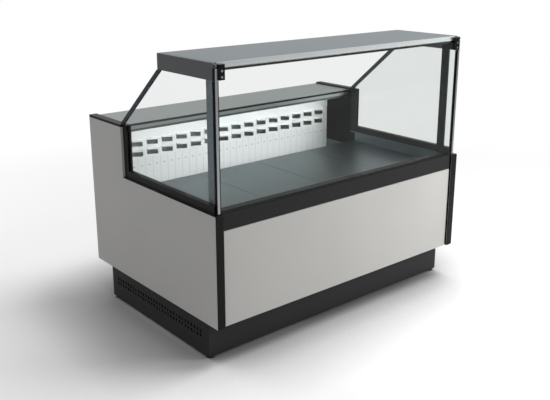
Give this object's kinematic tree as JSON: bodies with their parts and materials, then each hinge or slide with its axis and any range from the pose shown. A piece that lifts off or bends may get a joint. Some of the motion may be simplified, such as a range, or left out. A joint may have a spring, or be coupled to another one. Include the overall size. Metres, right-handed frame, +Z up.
{
  "type": "refrigerated serve-over display counter",
  "caption": "Free-standing refrigerated display counter with a lift-up front glass, sloped glass ends, top shelf, cold deck, service worktop and a cooling unit in the base.",
  "frame": {"origin": "on the floor under the middle of the counter's outer box", "axes": "+Z up, -Y towards the customer side with the lift-up glass, +X to the customer's right, along the counter's length"},
  "size_m": [1.56, 1.05, 1.295],
  "materials": {
    "end_grey": "laminated board, satin grey outside and black inside",
    "front_grey": "light warm grey, satin powder coat",
    "black_edging": "black satin powder coat",
    "bumper_black": "charcoal satin powder coat",
    "plinth_black": "charcoal matt powder coat on steel",
    "brushed_stainless": "brushed stainless",
    "worktop_stainless": "brushed stainless",
    "white_steel": "gloss white enamel on steel",
    "galvanised": "spangled zinc",
    "zinc_coated_skin": "zinc-coated sheet skins",
    "clear_glass": "clear toughened",
    "dark_aluminium": "dark anodised",
    "bracket_grey": "dark grey powder coat",
    "light_aluminium": "satin anodised",
    "shelf_grey": "blue-grey satin",
    "clamp_black": "black gloss",
    "led_white": "opal diffuser",
    "compressor_black": "black enamel",
    "fin_aluminium": "plain mill finish",
    "copper": "drawn copper",
    "black_plastic": "moulded",
    "grey_plastic": "moulded",
    "green_plastic": "translucent moulded",
    "zinc_screw": "zinc plated",
    "foot_nylon": "black nylon pad on a steel stem"
  },
  "bodies": {
    "cabinet": {"base_frame": "galvanised", "plinth_front_panel": "plinth_black", "plinth_left_panel": "plinth_black", "plinth_right_panel": "plinth_black", "plinth_rear_panel": "plinth_black", "end_panel_left": "end_grey", "end_panel_right": "end_grey", "end_edging_left": "black_edging", "end_edging_right": "black_edging", "front_panel": "front_grey", "bumper": "bumper_black", "insulated_tub": "zinc_coated_skin", "side_liner_left": "brushed_stainless", "side_liner_right": "brushed_stainless", "drain_pipe": "grey_plastic", "deck_supports": "galvanised", "slotted_rear_wall": "white_steel", "worktop": "worktop_stainless", "worktop_light": "led_white", "evaporator": "fin_aluminium", "evaporator_fan_plate": "galvanised", "evaporator_fan_motors": "black_plastic", "compressor": "compressor_black", "condenser": "fin_aluminium", "condenser_fan_motor": "compressor_black", "refrigerant_pipes": "copper", "rear_panel": "front_grey", "rear_panel_screws": "zinc_screw", "power_inlet": "black_plastic", "control_panel": "black_plastic", "post_left": "dark_aluminium", "post_right": "dark_aluminium", "side_glass_left": "clear_glass", "side_glass_right": "clear_glass", "slope_frame_left": "dark_aluminium", "slope_frame_right": "dark_aluminium", "shelf_bracket_left": "bracket_grey", "shelf_bracket_right": "bracket_grey", "shelf": "shelf_grey", "shelf_front_rail": "black_edging"},
    "front_glass": {"front_pane": "clear_glass", "pane_profiles": "light_aluminium", "hinge_clamp_left": "clamp_black", "hinge_clamp_right": "clamp_black"},
    "deck_plate_1": {"deck_plate_1": "brushed_stainless"},
    "deck_plate_2": {"deck_plate_2": "brushed_stainless"},
    "deck_plate_3": {"deck_plate_3": "brushed_stainless"},
    "deck_plate_4": {"deck_plate_4": "brushed_stainless"},
    "return_grille": {"return_grille": "brushed_stainless"},
    "evaporator_fan_left": {"evaporator_fan_left": "grey_plastic"},
    "evaporator_fan_right": {"evaporator_fan_right": "grey_plastic"},
    "condenser_fan": {"condenser_fan": "fin_aluminium"},
    "service_grille": {"service_grille": "plinth_black"},
    "button_up": {"button_up": "grey_plastic"},
    "button_down": {"button_down": "grey_plastic"},
    "light_switch": {"light_switch": "green_plastic"},
    "foot_front_left": {"foot_front_left": "foot_nylon"},
    "foot_front_right": {"foot_front_right": "foot_nylon"},
    "foot_rear_left": {"foot_rear_left": "foot_nylon"},
    "foot_rear_right": {"foot_rear_right": "foot_nylon"}
  },
  "joints": [
    {"name": "front_glass_lift", "type": "hinge", "parent": "cabinet", "child": "front_glass", "pos_m": [0, -0.507, 1.284], "axis": [-1, 0, 0], "range_deg": [0, 80]},
    {"name": "deck_plate_1_lift", "type": "slide", "parent": "cabinet", "child": "deck_plate_1", "axis": [0, 0, 1], "range_m": [0, 0.12]},
    {"name": "deck_plate_2_lift", "type": "slide", "parent": "cabinet", "child": "deck_plate_2", "axis": [0, 0, 1], "range_m": [0, 0.12]},
    {"name": "deck_plate_3_lift", "type": "slide", "parent": "cabinet", "child": "deck_plate_3", "axis": [0, 0, 1], "range_m": [0, 0.12]},
    {"name": "deck_plate_4_lift", "type": "slide", "parent": "cabinet", "child": "deck_plate_4", "axis": [0, 0, 1], "range_m": [0, 0.12]},
    {"name": "return_grille_lift", "type": "slide", "parent": "cabinet", "child": "return_grille", "axis": [0, 0, 1], "range_m": [0, 0.1]},
    {"name": "evaporator_fan_left_spin", "type": "hinge", "parent": "cabinet", "child": "evaporator_fan_left", "pos_m": [-0.3, 0.245, 0.478], "axis": [0, 1, 0], "continuous": true},
    {"name": "evaporator_fan_right_spin", "type": "hinge", "parent": "cabinet", "child": "evaporator_fan_right", "pos_m": [0.3, 0.245, 0.478], "axis": [0, 1, 0], "continuous": true},
    {"name": "condenser_fan_spin", "type": "hinge", "parent": "cabinet", "child": "condenser_fan", "pos_m": [0.32, 0.245, 0.2125], "axis": [0, 1, 0], "continuous": true},
    {"name": "service_grille_pull", "type": "slide", "parent": "cabinet", "child": "service_grille", "axis": [0, 1, 0], "range_m": [0, 0.06]},
    {"name": "button_up_press", "type": "slide", "parent": "cabinet", "child": "button_up", "axis": [0, -1, 0], "range_m": [0, 0.0015], "stiffness_N_per_m": 400},
    {"name": "button_down_press", "type": "slide", "parent": "cabinet", "child": "button_down", "axis": [0, -1, 0], "range_m": [0, 0.0015], "stiffness_N_per_m": 400},
    {"name": "light_switch_rock", "type": "hinge", "parent": "cabinet", "child": "light_switch", "pos_m": [-0.45, 0.504, 0.28], "axis": [1, 0, 0], "range_deg": [0, 20]},
    {"name": "foot_front_left_turn", "type": "hinge", "parent": "cabinet", "child": "foot_front_left", "pos_m": [-0.745, -0.412, 0.03], "axis": [0, 0, 1], "continuous": true},
    {"name": "foot_front_right_turn", "type": "hinge", "parent": "cabinet", "child": "foot_front_right", "pos_m": [0.745, -0.412, 0.03], "axis": [0, 0, 1], "continuous": true},
    {"name": "foot_rear_left_turn", "type": "hinge", "parent": "cabinet", "child": "foot_rear_left", "pos_m": [-0.745, 0.383, 0.03], "axis": [0, 0, 1], "continuous": true},
    {"name": "foot_rear_right_turn", "type": "hinge", "parent": "cabinet", "child": "foot_rear_right", "pos_m": [0.745, 0.383, 0.03], "axis": [0, 0, 1], "continuous": true}
  ]
}
